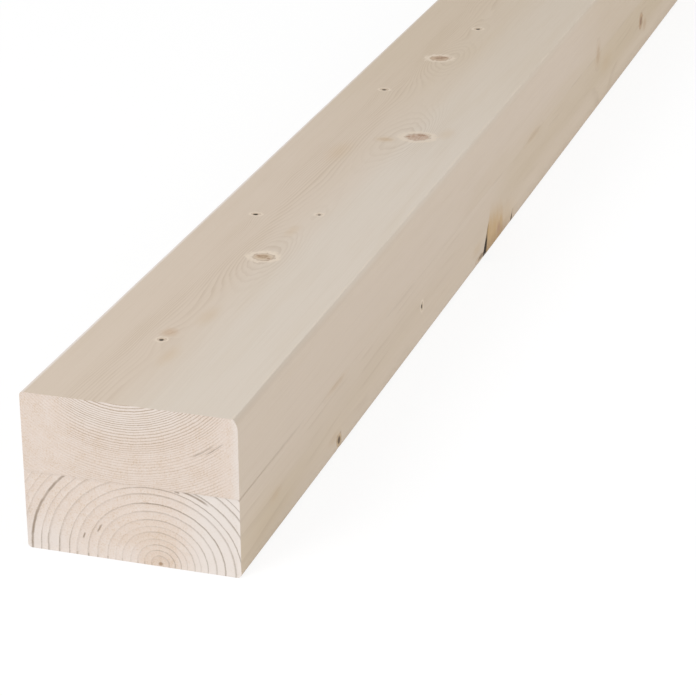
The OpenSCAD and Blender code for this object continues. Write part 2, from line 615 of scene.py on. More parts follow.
def smooth(value, low, high):
    """Smooth step from 0 at low to 1 at high."""
    t = np.clip((value - low) / (high - low), 0, 1)
    return t * t * (3 - 2 * t)


def knot_axis(board, knot):
    """Direction in which the branch grew out from the pith, through the knot's place."""
    pith_x, pith_z = pith_place(board.log, knot.along)
    return Vector((knot.x - pith_x, 0, knot.z - pith_z)).normalized()


def pith_place(log, along):
    """Where the pith is, at a place along the board."""
    turn = along * TURN / log.drift_length
    x = log.pith_x + log.drift_x * np.sin(turn)
    z = log.pith_z + log.drift_z * np.sin(turn / Z_DRIFT_STRETCH)
    return x, z


def ring_radius(log, x, along, z):
    """Distance from the pith, with the rings' departure from circles."""
    pith_x, pith_z = pith_place(log, along)
    angle = np.arctan2(z - pith_z, x - pith_x)
    swell = sum(share * np.sin(lobes * angle + phase) for lobes, share, phase in OVAL_LOBES)
    return np.hypot(x - pith_x, z - pith_z) * (1 + log.oval * swell)


MOAT_AT, MOAT_WIDTH = 1.05, 0.16  # of a knot's sunk rim, in radii
PIT_WIDTH = 0.6  # of a knot's pit, in radii


def knot_depth(board, places, relief):
    """Depth of the rims and pits at the board's knots."""
    depth = np.zeros(len(places))
    for knot in board.knots:
        axis = np.array(knot_axis(board, knot))
        off = places - np.array((knot.x, knot.along, knot.z))
        inwards = off @ axis
        off = off - inwards[:, None] * axis
        off[:, 1] /= knot.kind.stretch
        share = np.linalg.norm(off, axis=1) / knot.radius
        shown = np.abs(inwards) < knot.kind.depth * knot.radius
        moat = np.exp(-(((share - MOAT_AT) / MOAT_WIDTH) ** 2)) * relief.knot_moat / MM
        pit = np.exp(-((share / PIT_WIDTH) ** 2)) * relief.pin_pit / MM
        depth += shown * (knot.kind.rim * moat + knot.kind.pit * pit)
    return depth


CRACK_OPENS = (1, 5.0)  # heights over which a crack opens, which leaves the beam's outline whole
CRACK_TIP = 0.25  # share of a crack's width that is left at its high end
CRACK_TAPER = 0.7  # power by which its depth closes towards there
CRACK_SLOPE = 3  # how far in from the side it reaches, in depths


def crack_lean(crack):
    """How far along a crack runs with each millimetre up."""
    return (crack.high[0] - crack.low[0]) / (crack.high[1] - crack.low[1])


def crack_depth(board, places):
    """Depth of the open cracks over the right arris."""
    depth = np.zeros(len(places))
    for crack in board.cracks:
        middle = crack.low[0] + crack_lean(crack) * (places[:, 2] - crack.low[1])
        closing = 1 - np.clip(places[:, 2] / crack.high[1], 0, 1)
        half_width = crack.half_width * (CRACK_TIP + (1 - CRACK_TIP) * closing)
        off = np.abs(places[:, 1] - middle) / half_width
        above_foot = smooth(places[:, 2], *CRACK_OPENS)
        into = np.clip((board.high[0] - places[:, 0]) / (CRACK_SLOPE * crack.depth), 0, 1)
        depth += crack.depth * closing**CRACK_TAPER * np.clip(1 - off, 0, 1) * (1 - into) * above_foot
    return depth


OUTLINE_RISE = (0.2, 2.5)  # how far in from an end's outline its relief starts, and is full
LATE_RISE = (0.55, 0.9)  # shares of a ring's width over which early wood rises to late wood
# The saw's waves on an end: radians a millimetre across and up, and phase
SAW_WAVES = ((0.95, 0.32, 0.0), (-0.41, 0.88, 1.3), (0.23, -0.17, 2.4))


def end_depth(board, places, relief):
    """Depth of early wood and of the saw's waves on a sawn end."""
    x, along, z = places.T
    inside = np.minimum.reduce([x - board.low[0], board.high[0] - x, z - board.low[2], board.high[2] - z])
    fade = smooth(inside, *OUTLINE_RISE)
    waves = sum(np.sin(a * x + b * z + c) for a, b, c in SAW_WAVES) / len(SAW_WAVES)
    depth = (1 + waves) / 2 * relief.saw_relief / MM
    if board.wide_ringed:
        part = np.modf(wide_ring_count(ring_radius(board.log, x, along, z)))[0]
        depth += relief.ring_relief / MM * (1 - smooth(part, *LATE_RISE))
    return depth * fade


def wide_ring_count(radius):
    """How many rings of the lower board lie within a distance from its pith, with parts of rings."""
    radii, counts, _ = zip(*wide_ring_marks())
    return np.interp(radius, radii, counts)


def wide_ring_marks():
    """Distance from the pith, number and darkness of each ring's dark edge, out to the log's reach."""
    rings = list(WIDE_RINGS)
    while rings[-1][0] < LOG_REACH:
        rings.append((rings[-1][0] + WIDE_RING_OUTER, WIDE_SHADE_OUTER))
    numbered = [(radius, number, shade) for number, (radius, shade) in enumerate(rings, start=1)]
    return [(0, 0, rings[0][1]), *numbered]


GROOVE_LEFT = 0.1  # share of the glue groove's depth that is left beyond its run


def carve(bm, board, relief):
    """Lowers the mesh's points into the board by the relief at their places."""
    bm.normal_update()
    points = np.array([v.co[:] for v in bm.verts])
    normals = np.array([v.normal[:] for v in bm.verts])
    places = points - np.array((0, NEAR_END, 0))
    on_end = (places[:, 1] < TOUCH) | (places[:, 1] > LENGTH - TOUCH)
    on_sides = (points[:, 0] < board.low[0] + TOUCH) | (points[:, 0] > board.high[0] - TOUCH)
    at_glue = (np.abs(points[:, 2] - board.glue_z) < TOUCH) & on_sides

    depth = knot_depth(board, places, relief) + crack_depth(board, places)
    depth[on_end] = end_depth(board, places[on_end], relief)
    depth[at_glue] = 0
    points -= normals * depth[:, None]
    near = 1 - smooth(places[at_glue, 1], 0, relief.groove_run / MM)
    open_share = GROOVE_LEFT + (1 - GROOVE_LEFT) * near
    points[at_glue, 0] -= np.sign(points[at_glue, 0]) * open_share * relief.groove_depth / MM
    points = np.clip(points, board.low, board.high)
    for vert, point in zip(bm.verts, points):
        vert.co = point * MM


SHARP_ANGLE = math.radians(28)  # edges sharper than this aren't shaded smooth


def lay_board(board, name, relief, materials):
    """Builds a board as one piece that stands for its CAD node."""
    bm = board_mesh(board, relief)
    refine(bm, fine_boxes(board, relief))
    carve(bm, board, relief)
    mesh = bpy.data.meshes.new(name)
    bm.to_mesh(mesh)
    bm.free()
    for material in materials:
        mesh.materials.append(material)
    mesh.shade_smooth()
    mesh.set_sharp_from_angle(angle=SHARP_ANGLE)
    piece = bpy.data.objects.new(name, mesh)
    bpy.context.scene.collection.objects.link(piece)
    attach(piece, BODY)
    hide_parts(board.node)
    return piece


# Shader wiring

class Fade(namedtuple("Fade", "start end low high", defaults=(0.0, 1.0))):
    """A smooth change from low, where it starts, to high, where it ends"""

    def at(self, place):
        """The same change, with its start and end counted from a place."""
        return self._replace(start=place + self.start, end=place + self.end)

    def times(self, length):
        """The same change, with its start and end as shares of a length."""
        return self._replace(start=self.start * length, end=self.end * length)


class Wiring:
    """Adds nodes to one tree. A value given to a socket is another socket or a constant."""

    def __init__(self, tree):
        self.tree = tree

    def node(self, kind, values=(), **settings):
        """A new node with its settings, and values for its inputs."""
        made = self.tree.nodes.new(kind)
        for name, setting in settings.items():
            setattr(made, name, setting)
        for name, value in dict(values).items():
            self.feed(made.inputs[name], value)
        return made

    def feed(self, socket, value):
        """Links a socket to another one, or sets it to a constant."""
        if isinstance(value, bpy.types.NodeSocket):
            self.tree.links.new(value, socket)
        else:
            socket.default_value = value

    def math(self, operation, *values):
        """Result of an operation on single values."""
        return self.node("ShaderNodeMath", enumerate(values), operation=operation).outputs[0]

    def total(self, first, *others):
        """All values added up."""
        for other in others:
            first = self.math("ADD", first, other)
        return first

    def product(self, first, *others):
        """All values multiplied."""
        for other in others:
            first = self.math("MULTIPLY", first, other)
        return first

    def vector(self, operation, *values):
        """Result of an operation on vectors."""
        made = self.node("ShaderNodeVectorMath", enumerate(values), operation=operation)
        return made.outputs["Value" if operation in ("DOT_PRODUCT", "LENGTH") else "Vector"]

    def parts(self, vector):
        """A vector's x, y and z."""
        return self.node("ShaderNodeSeparateXYZ", {"Vector": vector}).outputs

    def step(self, value, start, end, low=0.0, high=1.0):
        """A value sent through the smooth change of a Fade, which is given in its four parts."""
        values = {"Value": value, "From Min": start, "From Max": end, "To Min": low, "To Max": high}
        return self.node("ShaderNodeMapRange", values, interpolation_type="SMOOTHSTEP").outputs["Result"]

    def band(self, value, first, second):
        """A value sent through two Fades, and what they give multiplied."""
        return self.product(self.step(value, *first), self.step(value, *second))

    def mix(self, share, first, second):
        """The first colour with a share of the second in it."""
        made = self.node("ShaderNodeMix", data_type="RGBA")
        sockets = {socket.identifier: socket for socket in made.inputs}
        for name, value in (("Factor_Float", share), ("A_Color", first), ("B_Color", second)):
            self.feed(sockets[name], value)
        return next(out for out in made.outputs if out.identifier == "Result_Color")

    def noise(self, vector, spread, detail=2.0, roughness=0.5):
        """Noise whose grains are about as long as spread in x, y and z."""
        shares = tuple(1 / length for length in spread)
        values = {"Vector": self.vector("MULTIPLY", vector, shares), "Scale": 1.0,
                  "Detail": detail, "Roughness": roughness}
        return self.node("ShaderNodeTexNoise", values).outputs["Fac"]

    def curve(self, value, points):
        """A value from 0 to 1 sent along straight lines through the points."""
        made = self.node("ShaderNodeFloatCurve", {"Value": value})
        line = made.mapping.curves[0].points
        line[0].location, line[-1].location = points[0], points[-1]
        for point in points[1:-1]:
            line.new(*point)
        for point in line:
            point.handle_type = "VECTOR"
        made.mapping.update()
        return made.outputs["Value"]

    def group(self, tree, values):
        """Places a node group with its values and gives its outputs."""
        made = self.tree.nodes.new("ShaderNodeGroup")
        made.node_tree = tree
        for name, value in values.items():
            self.feed(made.inputs[name], value)
        return made.outputs


# Effects that the finishes share, each a node group

VALUE = "NodeSocketFloat"
VECTOR = "NodeSocketVector"
NOISE_MIDDLE = 0.5


def value_sockets(*names):
    """Sockets of those names, each for one value."""
    return dict.fromkeys(names, VALUE)


def effect(name, inputs, outputs, wire_up):
    """The node group of that name, wired on its first use by wire_up(wiring, inputs)."""
    tree = bpy.data.node_groups.get(name)
    if tree is not None:
        return tree
    tree = bpy.data.node_groups.new(name, "ShaderNodeTree")
    for socket, kind in inputs.items():
        tree.interface.new_socket(socket, in_out="INPUT", socket_type=kind)
    for socket, kind in outputs.items():
        tree.interface.new_socket(socket, in_out="OUTPUT", socket_type=kind)
    wire = Wiring(tree)
    given = wire.node("NodeGroupInput").outputs
    leaving = wire.node("NodeGroupOutput").inputs
    for socket, value in zip(outputs, wire_up(wire, given)):
        wire.feed(leaving[socket], value)
    return tree


RAGGED_GRAIN = (7, 190, 7)  # lengths over which rings stray a little: across, along and up
WANDER_GRAIN = (38, 150, 38)  # and over which they wander further


def log_rings():
    """Distance from the pith and angle about it, as ring_radius has it, with rings that stray."""
    def wire_up(wire, given):
        x, along, z = wire.parts(given["Place"])
        turn = wire.math("DIVIDE", wire.product(along, TURN), given["Drift Length"])
        sway_x = wire.math("SINE", turn)
        sway_z = wire.math("SINE", wire.math("DIVIDE", turn, Z_DRIFT_STRETCH))
        pith_x = wire.math("MULTIPLY_ADD", sway_x, given["Drift X"], given["Pith X"])
        pith_z = wire.math("MULTIPLY_ADD", sway_z, given["Drift Z"], given["Pith Z"])
        across = wire.math("SUBTRACT", x, pith_x)
        up = wire.math("SUBTRACT", z, pith_z)
        angle = wire.math("ARCTAN2", up, across)
        radius = wire.math("SQRT", wire.total(wire.product(across, across), wire.product(up, up)))
        swell = 0.0
        for lobes, share, phase in OVAL_LOBES:
            wave = wire.math("SINE", wire.math("MULTIPLY_ADD", angle, lobes, phase))
            swell = wire.math("MULTIPLY_ADD", wave, share, swell)
        radius = wire.product(radius, wire.math("MULTIPLY_ADD", swell, given["Oval"], 1.0))
        ragged = wire.math("SUBTRACT", wire.noise(given["Place"], RAGGED_GRAIN, detail=3.0), NOISE_MIDDLE)
        radius = wire.math("MULTIPLY_ADD", ragged, given["Ragged"], radius)
        wander = wire.math("SUBTRACT", wire.noise(given["Place"], WANDER_GRAIN, detail=1.0), NOISE_MIDDLE)
        return wire.math("MULTIPLY_ADD", wander, given["Wander"], radius), angle

    inputs = {"Place": VECTOR}
    inputs |= value_sockets("Pith X", "Pith Z", "Drift X", "Drift Z", "Drift Length")
    inputs |= value_sockets("Oval", "Ragged", "Wander")
    return effect("Log Rings", inputs, value_sockets("Radius", "Angle"), wire_up)


def fine_rings():
    """Rings counted out from the pith in the upper board, and how dark each ring's edge is."""
    def wire_up(wire, given):
        turn = wire.product(wire.math("SUBTRACT", given["Radius"], FINE_SWELL_AT), TURN / FINE_SWELL_LENGTH)
        spread = wire.math("MULTIPLY_ADD", wire.math("SINE", turn), FINE_SWELL, given["Radius"])
        count = wire.math("DIVIDE", spread, given["Width"])
        ring = wire.math("FLOOR", count)
        own = wire.node("ShaderNodeTexWhiteNoise", {"W": ring}, noise_dimensions="1D").outputs["Value"]
        return count, wire.math("MULTIPLY_ADD", own, FINE_SHADE_SPREAD, FINE_SHADE_LEAST)

    return effect("Fine Rings", value_sockets("Radius", "Width"), value_sockets("Count", "Shade"), wire_up)


def wide_rings():
    """Rings counted out from the pith in the lower board, and how dark each ring's edge is."""
    def wire_up(wire, given):
        marks = wide_ring_marks()
        reach, count, _ = marks[-1]
        share = wire.math("DIVIDE", given["Radius"], reach)
        counted = [(radius / reach, number / count) for radius, number, _ in marks]
        shaded = [(radius / reach, shade) for radius, _, shade in marks]
        return wire.product(wire.curve(share, counted), count), wire.curve(share, shaded)

    return effect("Wide Rings", value_sockets("Radius"), value_sockets("Count", "Shade"), wire_up)


LATE_FULL = 0.93  # share of a ring's width at which its late wood is darkest
LATE_ENDS = Fade(0.95, 1.0, 1.0, 0.0)  # how late wood stops at the ring's edge


def late_wood():
    """Dark outer share of a growth ring."""
    def wire_up(wire, given):
        part = wire.math("FRACT", given["Count"])
        rise = wire.step(part, given["Dark From"], LATE_FULL)
        return (wire.product(rise, wire.step(part, *LATE_ENDS)),)

    return effect("Late Wood", value_sockets("Count", "Dark From"), value_sockets("Late"), wire_up)


KNOT_TINTS = ("Halo", "Amber", "Brown", "Red", "Dark")
KNOT_MARKS = (*KNOT_TINTS, "Stir")
SWING_SQUEEZE = (1, 0.45, 1)  # rings swing round a knot over a longer way along the grain
KNOT_STRAY, KNOT_LEAST = 0.6, 0.7  # how much a knot's outline strays, and its least scale
# Zones of a knot, as shares of its radius out from its axis, and how it ends, in shares of its depth
KNOT_EDGE = 1.05
KNOT_HEART = Fade(0.3, 0.7, 1.0, 0.0)
KNOT_RIM = (Fade(0.78, 0.9), Fade(0.95, 1.08, 1.0, 0.0))
KNOT_HALO = (Fade(0.95, 1.15), Fade(1.3, 1.8, 1.0, 0.0))
KNOT_ENDS = Fade(0.8, 1.0, 1.0, 0.0)
RIM_BROWN = 0.6  # how brown the rim is, against the heart
# The knot's own rings: their turn over its radius, how far that strays, and the shades of ring and fleck
KNOT_TURN, KNOT_TURN_STRAY = 13.0, 9.0
KNOT_RING_SHADE, KNOT_SHADE, KNOT_FLECK_SHADE = 0.2, 0.35, 0.8


def branch_knot():
    """One knot: its tints, each added to what comes in, and the place that the rings there grew from.

    The branch pushed the rings out along its axis, so a place near it is put back towards the pith.
    """
    def wire_up(wire, given):
        off = wire.vector("SUBTRACT", given["Place"], given["Centre"])
        inwards = wire.vector("DOT_PRODUCT", off, given["Axis"])
        off = wire.vector("SUBTRACT", off, wire.vector("MULTIPLY", given["Axis"], inwards))
        squeezed = wire.vector("MULTIPLY", off, SWING_SQUEEZE)
        swing = wire.math("DIVIDE", wire.vector("LENGTH", squeezed), given["Reach"])
        swing = wire.math("EXPONENT", wire.product(swing, swing, -1.0))
        size = wire.vector("LENGTH", wire.vector("MULTIPLY", off, given["Squeeze"]))
        ragged = wire.math("MULTIPLY_ADD", given["Ragged"], KNOT_STRAY, KNOT_LEAST)
        share = wire.product(wire.math("DIVIDE", size, given["Radius"]), ragged)
        depth = wire.math("DIVIDE", wire.math("ABSOLUTE", inwards), given["Depth"])
        shown = wire.step(depth, *KNOT_ENDS)
        solid = wire.math("SUBTRACT", 1.0, given["Soft"])
        core = wire.product(wire.step(share, solid, KNOT_EDGE, 1.0, 0.0), shown)
        heart = wire.product(wire.step(share, *KNOT_HEART), shown)
        rim = wire.product(wire.band(share, *KNOT_RIM), shown)
        halo = wire.product(wire.band(share, *KNOT_HALO), shown)
        turn = wire.math("MULTIPLY_ADD", share, KNOT_TURN, wire.product(given["Ragged"], KNOT_TURN_STRAY))
        rings = wire.math("MULTIPLY_ADD", wire.math("SINE", turn), KNOT_RING_SHADE, KNOT_SHADE)
        figure = wire.total(rings, wire.product(given["Fleck"], KNOT_FLECK_SHADE))
        brown = wire.product(wire.math("MAXIMUM", heart, wire.product(rim, RIM_BROWN)), figure)
        masks = (halo, core, brown, wire.product(core, figure), heart, swing)
        push = wire.vector("MULTIPLY", given["Axis"], wire.product(swing, given["Sway"]))
        grown = wire.vector("SUBTRACT", given["Place"], push)
        return (grown, *(wire.math("MAXIMUM", given[f"{mark} In"], wire.product(mask, given[mark]))
                         for mark, mask in zip(KNOT_MARKS, masks)))

    inputs = dict.fromkeys(("Place", "Centre", "Axis", "Squeeze"), VECTOR)
    inputs |= value_sockets("Radius", "Sway", "Reach", "Depth", "Soft", "Ragged", "Fleck", *KNOT_MARKS)
    inputs |= value_sockets(*(f"{mark} In" for mark in KNOT_MARKS))
    outputs = {"Place": VECTOR} | value_sockets(*KNOT_MARKS)
    return effect("Branch Knot", inputs, outputs, wire_up)


BROAD_FIBRE = (2.4, 170, 2.4)
FINE_FIBRE = (0.8, 60, 0.8)
BROAD_FIBRE_SHARE = 0.6


def fibres():
    """Streaks along the grain, for colour, and finer ones to feel, for bump and roughness."""
    def wire_up(wire, given):
        broad = wire.noise(given["Place"], BROAD_FIBRE)
        fine = wire.noise(given["Place"], FINE_FIBRE)
        shares = (wire.product(broad, BROAD_FIBRE_SHARE), wire.product(fine, 1 - BROAD_FIBRE_SHARE))
        return wire.total(*shares), fine

    return effect("Fibres", {"Place": VECTOR}, value_sockets("Streak", "Height"), wire_up)


BROAD_TONE = (42, 620, 42)
CLOUD_TONE = (15, 150, 15)


def wood_tone():
    """Slow changes of tone over a board: broad ones along the log, and clouds within them."""
    def wire_up(wire, given):
        return wire.noise(given["Place"], BROAD_TONE, detail=1.0), wire.noise(given["Place"], CLOUD_TONE)

    return effect("Wood Tone", {"Place": VECTOR}, value_sockets("Broad", "Cloud"), wire_up)


FINE_SPECK = (1.2, 1.2, 1.2)
COARSE_SPECK = (9, 9, 9)
FINE_SPECK_SHARE = 0.7


def sawn_grain():
    """Torn fibre ends on a sawn face: speckle for colour, and a height for bump."""
    def wire_up(wire, given):
        fine = wire.noise(given["Place"], FINE_SPECK, roughness=0.6)
        coarse = wire.noise(given["Place"], COARSE_SPECK)
        shares = (wire.product(fine, FINE_SPECK_SHARE), wire.product(coarse, 1 - FINE_SPECK_SHARE))
        return wire.total(*shares), fine

    return effect("Sawn Grain", {"Place": VECTOR}, value_sockets("Speckle", "Height"), wire_up)


RESIN_EDGE = Fade(0.25, 1.0, 1.0, 0.0)  # off the middle of a run of resin, in its widths
RESIN_TIP = Fade(0.45, 1.0, 1.0, 0.0)  # towards its ends, in half the angle that it spans
RESIN_BREAKS = Fade(0.3, 0.6, 0.5, 1.0)  # by its raggedness


def resin_run():
    """Resin along one ring over some angle, broken by the given raggedness."""
    def wire_up(wire, given):
        off = wire.math("ABSOLUTE", wire.math("SUBTRACT", given["Radius"], given["At Radius"]))
        line = wire.step(wire.math("DIVIDE", off, given["Width"]), *RESIN_EDGE)
        turned = wire.math("SUBTRACT", given["Angle"], given["At Angle"])
        turned = wire.math("ABSOLUTE", wire.math("WRAP", turned, math.pi, -math.pi))
        arc = wire.step(wire.math("DIVIDE", turned, given["Half Angle"]), *RESIN_TIP)
        return (wire.product(line, arc, wire.step(given["Ragged"], *RESIN_BREAKS)),)

    inputs = value_sockets("Radius", "Angle", "At Radius", "At Angle", "Half Angle", "Width", "Ragged")
    return effect("Resin Run", inputs, value_sockets("Mask"), wire_up)


GLUE_NEAR = Fade(90, 150, 1.0, 0.06)  # along the board, how clear the glue line is
GLUE_GRAIN = (60, 95, 60)
GLUE_STRETCH = Fade(0.57, 0.68, 0.0, 0.45)  # how clear it is in stretches further on
GLUE_SPREAD = Fade(0.3, 1.7, 1.0, 0.0)  # off the line, up or down


def glue_line():
    """Darkness of the glue line: clear at the near end, and in a few stretches along the board."""
    def wire_up(wire, given):
        along, z = wire.parts(given["Place"])[1:3]
        off = wire.math("ABSOLUTE", wire.math("SUBTRACT", z, given["Glue Z"]))
        near = wire.step(along, *GLUE_NEAR)
        stretch = wire.step(wire.noise(given["Place"], GLUE_GRAIN, detail=1.0), *GLUE_STRETCH)
        return (wire.product(wire.step(off, *GLUE_SPREAD), wire.math("MAXIMUM", near, stretch)),)

    inputs = {"Place": VECTOR} | value_sockets("Glue Z")
    return effect("Glue Line", inputs, value_sockets("Mask"), wire_up)


EDGE_GRAIN = (9, 26, 9)
EDGE_BREAKS = Fade(0.35, 0.65)
# Zones of a long edge, past its easing across the wide face, or down from that face
EDGE_LINE = (Fade(-0.2, 0.5), Fade(1.0, 2.2, 1.0, 0.0))
EDGE_LINE_DOWN = Fade(0.3, 0.8, 1.0, 0.0)
EASING_ENDS = Fade(-0.5, 0.1, 1.0, 0.0)
# A painted highlight past the easing: where it ends, and how it breaks
PAINTED_HIGHLIGHT_ENDS = Fade(0.0, 1.5, 1.0, 0.0)
PAINTED_HIGHLIGHT_BREAKS = Fade(0.0, 1.0, 0.75, 1.0)
EDGE_FADES = Fade(0.3, 1.0, 1.0, 0.0)  # down the side, as shares of its reach


def long_edge():
    """A long edge: the painted highlight line where its wide face ends, its easing for painted shade, and a
    painted highlight that runs on past it.
    """
    def wire_up(wire, given):
        x, along, z = wire.parts(given["Place"])
        inset = wire.math("ABSOLUTE", wire.math("SUBTRACT", x, given["Side X"]))
        down = wire.math("ABSOLUTE", wire.math("SUBTRACT", z, given["Face Z"]))
        past = wire.math("SUBTRACT", inset, given["Across"])
        broken = wire.step(wire.noise(given["Place"], EDGE_GRAIN), *EDGE_BREAKS)
        # The line and the last mask are painted highlights; painted shade goes on the easing
        line = wire.product(wire.band(past, *EDGE_LINE), wire.step(down, *EDGE_LINE_DOWN), broken)
        fade = wire.step(wire.math("DIVIDE", down, given["Reach"]), *EDGE_FADES)
        easing = wire.product(wire.step(past, *EASING_ENDS), fade)
        worn = wire.product(wire.step(past, *PAINTED_HIGHLIGHT_ENDS), wire.step(broken, *PAINTED_HIGHLIGHT_BREAKS))
        return line, easing, wire.product(worn, fade)

    inputs = {"Place": VECTOR} | value_sockets("Side X", "Face Z", "Across", "Reach")
    return effect("Long Edge", inputs, value_sockets("Line", "Easing", "Wear"), wire_up)


# What the finishes share

def rgba(colour):
    """A colour as a shader socket takes it."""
    return (*colour, 1.0)


def fresh_wiring(owner):
    """Wiring for a material or world, with no nodes yet."""
    owner.use_nodes = True
    owner.node_tree.nodes.clear()
    return Wiring(owner.node_tree)


def start_finish(name):
    """A new material, its wiring, places in millimetres from the near end, and its shader."""
    material = bpy.data.materials.new(name)
    wire = fresh_wiring(material)
    shader = wire.node("ShaderNodeBsdfPrincipled")
    wire.node("ShaderNodeOutputMaterial", {"Surface": shader.outputs["BSDF"]})
    spot = wire.node("ShaderNodeTexCoord").outputs["Object"]
    place = wire.vector("MULTIPLY_ADD", spot, (1 / MM,) * 3, (0, -NEAR_END, 0))
    return material, wire, place, shader


def cut_log(wire, board, place, ragged, wander):
    """The log's radius and angle at a place."""
    log = board.log
    values = {"Place": place, "Pith X": log.pith_x, "Pith Z": log.pith_z, "Drift X": log.drift_x,
              "Drift Z": log.drift_z, "Drift Length": log.drift_length, "Oval": log.oval,
              "Ragged": ragged, "Wander": wander}
    cut = wire.group(log_rings(), values)
    return cut["Radius"], cut["Angle"]


def ring_shades(wire, board, radius, fine_width, dark_from):
    """Late wood, and how dark each ring's is, at a distance from the pith."""
    if board.wide_ringed:
        rings = wire.group(wide_rings(), {"Radius": radius})
    else:
        rings = wire.group(fine_rings(), {"Radius": radius, "Width": fine_width})
    late = wire.group(late_wood(), {"Count": rings["Count"], "Dark From": dark_from})["Late"]
    return late, rings["Shade"]


def glued(wire, board, colours, place, colour, share):
    """The colour with the glue line on it."""
    glue = wire.group(glue_line(), {"Place": place, "Glue Z": board.glue_z})["Mask"]
    return wire.mix(wire.product(glue, share), colour, rgba(colours.glue))


# How a worked face feels: its roughness by the height of its grain, its specular level, the shares
# of grain and late wood in its bump, and the bump's strength and height, in millimetres
Surface = namedtuple("Surface", "roughness specular grain late strength height")
PLANED = Surface(Fade(0.2, 0.8, 0.58, 0.74), specular=0.3, grain=0.7, late=0.3, strength=0.3, height=0.1)
SAWN = Surface(Fade(0.2, 0.8, 0.78, 0.92), specular=0.2, grain=0.6, late=0.4, strength=0.5, height=0.2)


def work_surface(wire, shader, surface, grain, late):
    """Gives a finish the roughness, specular level and bump of a worked face."""
    wire.feed(shader.inputs["Roughness"], wire.step(grain, *surface.roughness))
    shader.inputs["Specular IOR Level"].default_value = surface.specular
    height = wire.total(wire.product(grain, surface.grain), wire.product(late, surface.late))
    values = {"Strength": surface.strength, "Distance": surface.height * MM, "Height": height}
    wire.feed(shader.inputs["Normal"], wire.node("ShaderNodeBump", values).outputs["Normal"])


# Planed finish

KNOT_OUTLINE_GRAIN = (3, 5, 3)
KNOT_FLECK_GRAIN = (1.2, 2.4, 1.2)


def board_knots(wire, board, place):
    """All of a board's knots, one after another: the place that rings grew from, and the marks."""
    ragged = wire.noise(place, KNOT_OUTLINE_GRAIN, detail=1.0)
    fleck = wire.noise(place, KNOT_FLECK_GRAIN, detail=1.0)
    marks = dict.fromkeys(KNOT_MARKS, 0.0)
    for knot in board.knots:
        kind, radius = knot.kind, knot.radius
        values = {"Place": place, "Centre": (knot.x, knot.along, knot.z), "Axis": knot_axis(board, knot),
                  "Squeeze": (1, 1 / kind.stretch, 1), "Radius": radius, "Sway": kind.sway * radius,
                  "Reach": kind.reach * radius, "Depth": kind.depth * radius, "Soft": kind.soft,
                  "Ragged": ragged, "Fleck": fleck}
        values |= {mark: getattr(kind, mark.lower()) for mark in KNOT_MARKS}
        values |= {f"{mark} In": value for mark, value in marks.items()}
        outputs = wire.group(branch_knot(), values)
        place = outputs["Place"]
        marks = {mark: outputs[mark] for mark in KNOT_MARKS}
    return place, marks


def past_crack(wire, crack, along, z):
    """How far along a place is beyond a crack's middle line."""
    return wire.math("SUBTRACT", along, wire.math("MULTIPLY_ADD", z, crack_lean(crack), crack.low[0]))


# Painted shade inside the open cracks:
CRACK_SIDE = Fade(60, 72)  # across, so that cracks show on the right alone
CRACK_DARK = Fade(0.6, 1.0, 1.0, 0.0)  # off a crack's middle line, in its half widths
# Up a crack, as shares of its height
CRACK_CLOSES = Fade(0, 1.0, 1.0, 0.0)
CRACK_TOP = Fade(0.8, 1.0, 1.0, 0.0)
CRACK_PALES = Fade(0.4, 0.7, 1.0, 0.35)


def crack_mask(wire, crack, place):
    """Where an open crack's inside is painted near black as shade, on the lines of crack_depth."""
    x, along, z = wire.parts(place)
    height = crack.high[1]
    closing = wire.step(z, *CRACK_CLOSES.times(height))
    half_width = wire.math("MULTIPLY_ADD", closing, (1 - CRACK_TIP) * crack.half_width,
                           CRACK_TIP * crack.half_width)
    off = wire.math("DIVIDE", wire.math("ABSOLUTE", past_crack(wire, crack, along, z)), half_width)
    below_top = wire.band(z, CRACK_TOP.times(height), CRACK_PALES.times(height))
    return wire.product(wire.step(off, *CRACK_DARK), below_top, wire.step(x, *CRACK_SIDE))


FILL_GRAIN = (20, 3.5, 26)
FILL_STREAKS = Fade(0.3, 0.65, 0.75, 1.0)
FILL_ROUGH_GRAIN = (20, 9, 14)
FILL_ROUGH = 16.0  # how far the torn knot's limits stray, in all
FILL_ROUGH_TOP = 0.5  # share of that at its top
FILL_SIDE = Fade(60, 74)  # across, so that it shows on the right alone
FILL_STARTS = Fade(-4, 1)  # past its crack
FILL_CORE = Fade(-6, 8, 1.0, 0.4)  # past its end
STAIN_FROM = 20  # how far past its end the stain starts to fade
FILL_TOP = Fade(-18, 10, 1.0, 0.0)  # above its top
FILL_SLOPE = 0.2  # how much its top sinks with each millimetre past the crack
FOOT_UP = Fade(15, 5, 0.0, 0.4)  # up from the floor, how brown its foot is
FOOT_ENDS = Fade(-6, 30, 1.0, 0.25)  # past its end


def edge_fill(wire, knot, crack, place):
    """Resinous wood of the torn knot at the arris, from its crack on, and how brown its foot is."""
    x, along, z = wire.parts(place)
    streaks = wire.step(wire.noise(place, FILL_GRAIN), *FILL_STREAKS)
    rough = wire.math("MULTIPLY_ADD", wire.noise(place, FILL_ROUGH_GRAIN), FILL_ROUGH, -FILL_ROUGH / 2)
    further = wire.total(along, rough)
    core = wire.step(further, *FILL_CORE.at(knot.end))
    stain = wire.step(further, knot.end + STAIN_FROM, knot.stain_end, 1.0, 0.0)
    ahead = past_crack(wire, crack, along, z)
    height = wire.total(wire.math("MULTIPLY_ADD", ahead, FILL_SLOPE, z), wire.product(rough, FILL_ROUGH_TOP))
    below = wire.step(height, *FILL_TOP.at(knot.top))
    shown = wire.product(wire.step(ahead, *FILL_STARTS), wire.step(x, *FILL_SIDE), streaks)
    foot = wire.product(wire.step(z, *FOOT_UP), wire.step(further, *FOOT_ENDS.at(knot.end)))
    return wire.product(core, stain, below, shown), wire.product(foot, shown)


